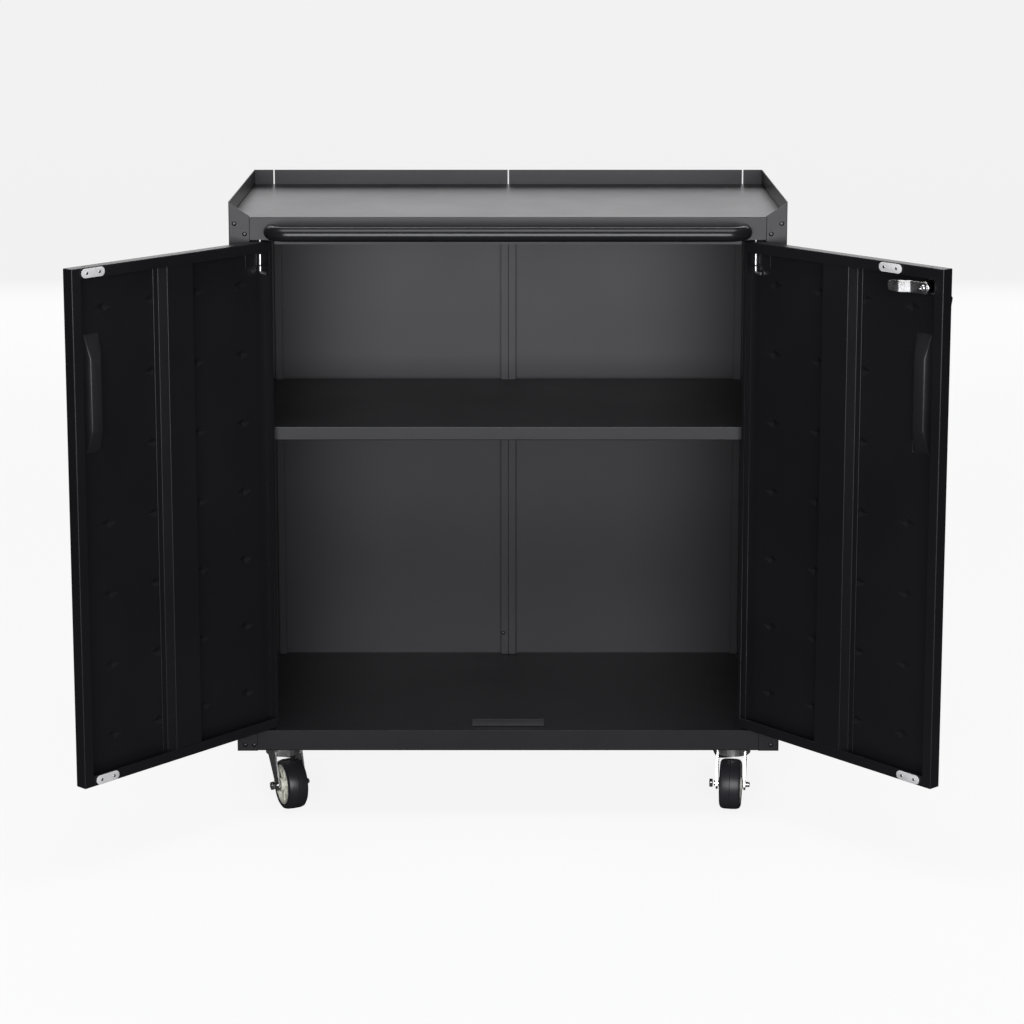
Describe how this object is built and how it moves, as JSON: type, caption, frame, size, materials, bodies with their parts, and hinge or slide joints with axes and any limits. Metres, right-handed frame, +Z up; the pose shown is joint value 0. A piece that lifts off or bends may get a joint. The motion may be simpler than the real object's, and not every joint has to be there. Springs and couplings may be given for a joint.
{
  "type": "rolling tool chest",
  "caption": "Rolling two-door steel tool chest with an adjustable shelf, a tray top, a tubular push handle and swivel casters.",
  "frame": {"origin": "on the floor, under the middle of the overall box with the doors open", "axes": "+X across to the right-hand door, +Y back from the front, +Z up; the doors and handle are at -Y"},
  "size_m": [1.2014, 0.6689, 0.925],
  "materials": {
    "black_coat": "fine-textured black powder coat",
    "zinc": "bright zinc plate",
    "chrome": "polished plating",
    "magnet": "dark ferrite magnet in its case",
    "black_plastic": "satin black plastic",
    "tread": "satin rubber tread",
    "cream_hub": "cream moulded hub"
  },
  "bodies": {
    "cabinet": {"side_panel_left": "black_coat", "side_panel_right": "black_coat", "back_panel_left": "black_coat", "back_panel_right": "black_coat", "top_tray": "black_coat", "front_fascia": "black_coat", "base_pan": "black_coat", "rear_seam_strip": "black_coat", "front_post_left": "black_coat", "front_post_right": "black_coat", "door_stop_bracket": "black_coat", "magnet_catch_left": "magnet", "magnet_catch_right": "magnet", "push_handle": "black_coat", "shelf_clip_front_left": "zinc", "shelf_clip_front_right": "zinc", "shelf_clip_rear_left": "zinc", "shelf_clip_rear_right": "zinc", "caster_plate_front_left": "black_coat", "caster_plate_front_right": "black_coat", "caster_plate_rear_left": "black_coat", "caster_plate_rear_right": "black_coat"},
    "shelf": {"shelf": "black_coat"},
    "door_left": {"door_skin_left": "black_coat", "door_stiffener_left": "black_coat", "pull_cup_left": "black_plastic", "strike_top_left": "zinc", "strike_bottom_left": "zinc", "pin_bracket_left": "black_coat"},
    "hinge_pin_left": {"hinge_pin_left": "zinc"},
    "door_right": {"door_skin_right": "black_coat", "door_stiffener_right": "black_coat", "pull_cup_right": "black_plastic", "strike_top_right": "zinc", "strike_bottom_right": "zinc", "pin_bracket_right": "black_coat", "lock_housing": "chrome", "lock_nut": "zinc"},
    "hinge_pin_right": {"hinge_pin_right": "zinc"},
    "lock": {"lock_plug": "chrome", "lock_cam": "zinc"},
    "key": {"key": "black_plastic"},
    "key_ring": {"key_ring": "chrome", "spare_key": "black_plastic"},
    "swivel_front_left": {"caster_fork_front_left": "black_coat", "caster_axle_front_left": "chrome"},
    "wheel_front_left": {"caster_hub_front_left": "cream_hub", "caster_tyre_front_left": "tread"},
    "swivel_front_right": {"caster_fork_front_right": "black_coat", "caster_axle_front_right": "chrome"},
    "wheel_front_right": {"caster_hub_front_right": "cream_hub", "caster_tyre_front_right": "tread"},
    "swivel_rear_left": {"caster_fork_rear_left": "black_coat", "caster_axle_rear_left": "chrome"},
    "wheel_rear_left": {"caster_hub_rear_left": "cream_hub", "caster_tyre_rear_left": "tread"},
    "swivel_rear_right": {"caster_fork_rear_right": "black_coat", "caster_axle_rear_right": "chrome"},
    "wheel_rear_right": {"caster_hub_rear_right": "cream_hub", "caster_tyre_rear_right": "tread"}
  },
  "joints": [
    {"name": "door_left", "type": "hinge", "parent": "cabinet", "child": "door_left", "pos_m": [-0.356, -0.061, 0.142], "axis": [0, 0, 1], "range_deg": [-6, 131.8]},
    {"name": "hinge_pin_left", "type": "slide", "parent": "door_left", "child": "hinge_pin_left", "axis": [0, 0, -1], "range_m": [0, 0.01], "stiffness_N_per_m": 200},
    {"name": "door_right", "type": "hinge", "parent": "cabinet", "child": "door_right", "pos_m": [0.356, -0.061, 0.142], "axis": [0, 0, -1], "range_deg": [-6, 131.8]},
    {"name": "hinge_pin_right", "type": "slide", "parent": "door_right", "child": "hinge_pin_right", "axis": [0, 0, -1], "range_m": [0, 0.01], "stiffness_N_per_m": 200},
    {"name": "shelf_lift", "type": "slide", "parent": "cabinet", "child": "shelf", "axis": [0, 0, 1], "range_m": [0, 0.0366]},
    {"name": "lock_turn", "type": "hinge", "parent": "door_right", "child": "lock", "pos_m": [0.5765, -0.29981, 0.84], "axis": [0.7455, 0.6665, 0], "range_deg": [0, 90]},
    {"name": "key_pull", "type": "slide", "parent": "lock", "child": "key", "axis": [0.7455, 0.6665, 0], "range_m": [0, 0.02]},
    {"name": "key_ring_swing", "type": "hinge", "parent": "key", "child": "key_ring", "pos_m": [0.59572, -0.28263, 0.83622], "axis": [-0.6665, 0.7455, 0], "range_deg": [-20, 10]},
    {"name": "swivel_front_left", "type": "hinge", "parent": "cabinet", "child": "swivel_front_left", "pos_m": [-0.3385, 0.0168, 0.107], "axis": [0, 0, 1], "continuous": true},
    {"name": "wheel_front_left", "type": "hinge", "parent": "swivel_front_left", "child": "wheel_front_left", "pos_m": [-0.3263, -0.0106, 0.0375], "axis": [0.9135, 0.4067, 0], "continuous": true},
    {"name": "swivel_front_right", "type": "hinge", "parent": "cabinet", "child": "swivel_front_right", "pos_m": [0.3385, 0.0168, 0.107], "axis": [0, 0, 1], "continuous": true},
    {"name": "wheel_front_right", "type": "hinge", "parent": "swivel_front_right", "child": "wheel_front_right", "pos_m": [0.33432, -0.01291, 0.0375], "axis": [0.9903, -0.1392, 0], "continuous": true},
    {"name": "swivel_rear_left", "type": "hinge", "parent": "cabinet", "child": "swivel_rear_left", "pos_m": [-0.3385, 0.2508, 0.107], "axis": [0, 0, 1], "continuous": true},
    {"name": "wheel_rear_left", "type": "hinge", "parent": "swivel_rear_left", "child": "wheel_rear_left", "pos_m": [-0.34576, 0.22169, 0.0375], "axis": [0.9703, -0.2419, 0], "continuous": true},
    {"name": "swivel_rear_right", "type": "hinge", "parent": "cabinet", "child": "swivel_rear_right", "pos_m": [0.3385, 0.2508, 0.107], "axis": [0, 0, 1], "continuous": true},
    {"name": "wheel_rear_right", "type": "hinge", "parent": "swivel_rear_right", "child": "wheel_rear_right", "pos_m": [0.34371, 0.22126, 0.0375], "axis": [0.9848, 0.1736, 0], "continuous": true}
  ]
}
